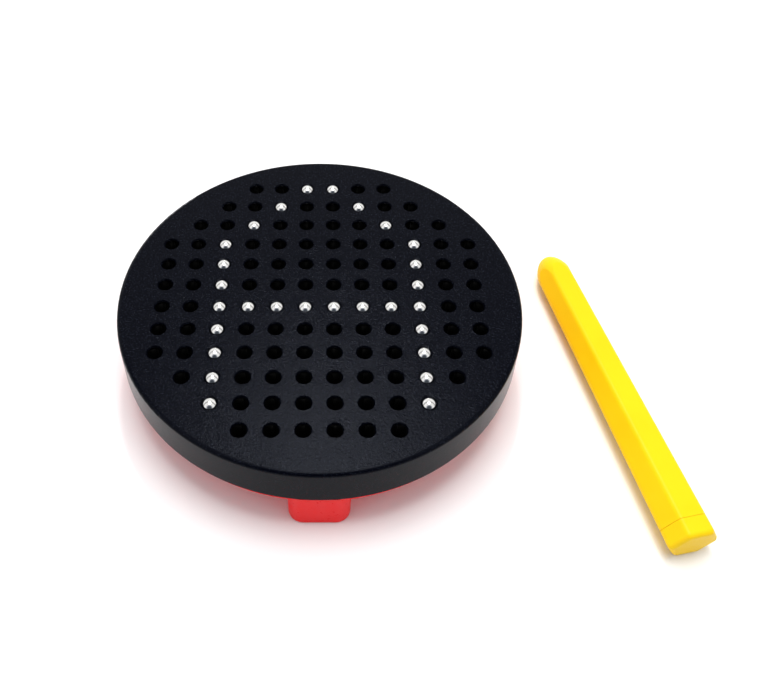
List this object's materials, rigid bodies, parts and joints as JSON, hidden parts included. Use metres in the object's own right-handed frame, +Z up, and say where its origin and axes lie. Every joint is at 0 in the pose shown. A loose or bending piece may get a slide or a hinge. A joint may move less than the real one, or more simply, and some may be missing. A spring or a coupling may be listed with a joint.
{
  "type": "magnetic ball drawing board",
  "caption": "Round board with a grid of steel balls that a magnetic stylus pulls up through a perforated face, on a legged base; the stylus lies beside it.",
  "frame": {"origin": "on the table under the centre of the board", "axes": "+Z up; -Y is the board's front, where the front leg shows; +X towards the stylus"},
  "size_m": [0.1682, 0.1317, 0.0288],
  "materials": {
    "shell_black": "fine spark grain on the face, satin skirt",
    "guide_black": "plain moulded",
    "pad": "soft foam sheet",
    "base_red": "satin gloss",
    "screws": "zinc plated",
    "balls": "polished",
    "stylus_yellow": "satin gloss",
    "magnet": "nickel plated"
  },
  "bodies": {
    "board": {"top_shell": "shell_black", "ball_guide_plate": "guide_black", "floor_pad": "pad", "base_cover": "base_red", "case_screws": "screws"},
    "stylus": {"stylus_body": "stylus_yellow", "stylus_end_cap": "stylus_yellow", "stylus_magnet": "magnet"},
    "balls_row_01_raised": {"balls_row_01_raised": "balls"},
    "balls_row_01_lowered": {"balls_row_01_lowered": "balls"},
    "balls_row_02_raised": {"balls_row_02_raised": "balls"},
    "balls_row_02_lowered": {"balls_row_02_lowered": "balls"},
    "balls_row_03_raised": {"balls_row_03_raised": "balls"},
    "balls_row_03_lowered": {"balls_row_03_lowered": "balls"},
    "balls_row_04_raised": {"balls_row_04_raised": "balls"},
    "balls_row_04_lowered": {"balls_row_04_lowered": "balls"},
    "balls_row_05_raised": {"balls_row_05_raised": "balls"},
    "balls_row_05_lowered": {"balls_row_05_lowered": "balls"},
    "balls_row_06_raised": {"balls_row_06_raised": "balls"},
    "balls_row_06_lowered": {"balls_row_06_lowered": "balls"},
    "balls_row_07_raised": {"balls_row_07_raised": "balls"},
    "balls_row_07_lowered": {"balls_row_07_lowered": "balls"},
    "balls_row_08_raised": {"balls_row_08_raised": "balls"},
    "balls_row_08_lowered": {"balls_row_08_lowered": "balls"},
    "balls_row_09_raised": {"balls_row_09_raised": "balls"},
    "balls_row_09_lowered": {"balls_row_09_lowered": "balls"},
    "balls_row_10_raised": {"balls_row_10_raised": "balls"},
    "balls_row_10_lowered": {"balls_row_10_lowered": "balls"},
    "balls_row_11_raised": {"balls_row_11_raised": "balls"},
    "balls_row_11_lowered": {"balls_row_11_lowered": "balls"},
    "balls_row_12_lowered": {"balls_row_12_lowered": "balls"}
  },
  "joints": [
    {"name": "stylus_lift", "type": "slide", "parent": "board", "child": "stylus", "axis": [0, 0, 1], "range_m": [0, 0.12]},
    {"name": "row_01_raised_travel", "type": "slide", "parent": "board", "child": "balls_row_01_raised", "axis": [0, 0, 1], "range_m": [-0.005, 0]},
    {"name": "row_01_lowered_travel", "type": "slide", "parent": "board", "child": "balls_row_01_lowered", "axis": [0, 0, 1], "range_m": [0, 0.005]},
    {"name": "row_02_raised_travel", "type": "slide", "parent": "board", "child": "balls_row_02_raised", "axis": [0, 0, 1], "range_m": [-0.005, 0]},
    {"name": "row_02_lowered_travel", "type": "slide", "parent": "board", "child": "balls_row_02_lowered", "axis": [0, 0, 1], "range_m": [0, 0.005]},
    {"name": "row_03_raised_travel", "type": "slide", "parent": "board", "child": "balls_row_03_raised", "axis": [0, 0, 1], "range_m": [-0.005, 0]},
    {"name": "row_03_lowered_travel", "type": "slide", "parent": "board", "child": "balls_row_03_lowered", "axis": [0, 0, 1], "range_m": [0, 0.005]},
    {"name": "row_04_raised_travel", "type": "slide", "parent": "board", "child": "balls_row_04_raised", "axis": [0, 0, 1], "range_m": [-0.005, 0]},
    {"name": "row_04_lowered_travel", "type": "slide", "parent": "board", "child": "balls_row_04_lowered", "axis": [0, 0, 1], "range_m": [0, 0.005]},
    {"name": "row_05_raised_travel", "type": "slide", "parent": "board", "child": "balls_row_05_raised", "axis": [0, 0, 1], "range_m": [-0.005, 0]},
    {"name": "row_05_lowered_travel", "type": "slide", "parent": "board", "child": "balls_row_05_lowered", "axis": [0, 0, 1], "range_m": [0, 0.005]},
    {"name": "row_06_raised_travel", "type": "slide", "parent": "board", "child": "balls_row_06_raised", "axis": [0, 0, 1], "range_m": [-0.005, 0]},
    {"name": "row_06_lowered_travel", "type": "slide", "parent": "board", "child": "balls_row_06_lowered", "axis": [0, 0, 1], "range_m": [0, 0.005]},
    {"name": "row_07_raised_travel", "type": "slide", "parent": "board", "child": "balls_row_07_raised", "axis": [0, 0, 1], "range_m": [-0.005, 0]},
    {"name": "row_07_lowered_travel", "type": "slide", "parent": "board", "child": "balls_row_07_lowered", "axis": [0, 0, 1], "range_m": [0, 0.005]},
    {"name": "row_08_raised_travel", "type": "slide", "parent": "board", "child": "balls_row_08_raised", "axis": [0, 0, 1], "range_m": [-0.005, 0]},
    {"name": "row_08_lowered_travel", "type": "slide", "parent": "board", "child": "balls_row_08_lowered", "axis": [0, 0, 1], "range_m": [0, 0.005]},
    {"name": "row_09_raised_travel", "type": "slide", "parent": "board", "child": "balls_row_09_raised", "axis": [0, 0, 1], "range_m": [-0.005, 0]},
    {"name": "row_09_lowered_travel", "type": "slide", "parent": "board", "child": "balls_row_09_lowered", "axis": [0, 0, 1], "range_m": [0, 0.005]},
    {"name": "row_10_raised_travel", "type": "slide", "parent": "board", "child": "balls_row_10_raised", "axis": [0, 0, 1], "range_m": [-0.005, 0]},
    {"name": "row_10_lowered_travel", "type": "slide", "parent": "board", "child": "balls_row_10_lowered", "axis": [0, 0, 1], "range_m": [0, 0.005]},
    {"name": "row_11_raised_travel", "type": "slide", "parent": "board", "child": "balls_row_11_raised", "axis": [0, 0, 1], "range_m": [-0.005, 0]},
    {"name": "row_11_lowered_travel", "type": "slide", "parent": "board", "child": "balls_row_11_lowered", "axis": [0, 0, 1], "range_m": [0, 0.005]},
    {"name": "row_12_lowered_travel", "type": "slide", "parent": "board", "child": "balls_row_12_lowered", "axis": [0, 0, 1], "range_m": [0, 0.005]}
  ]
}
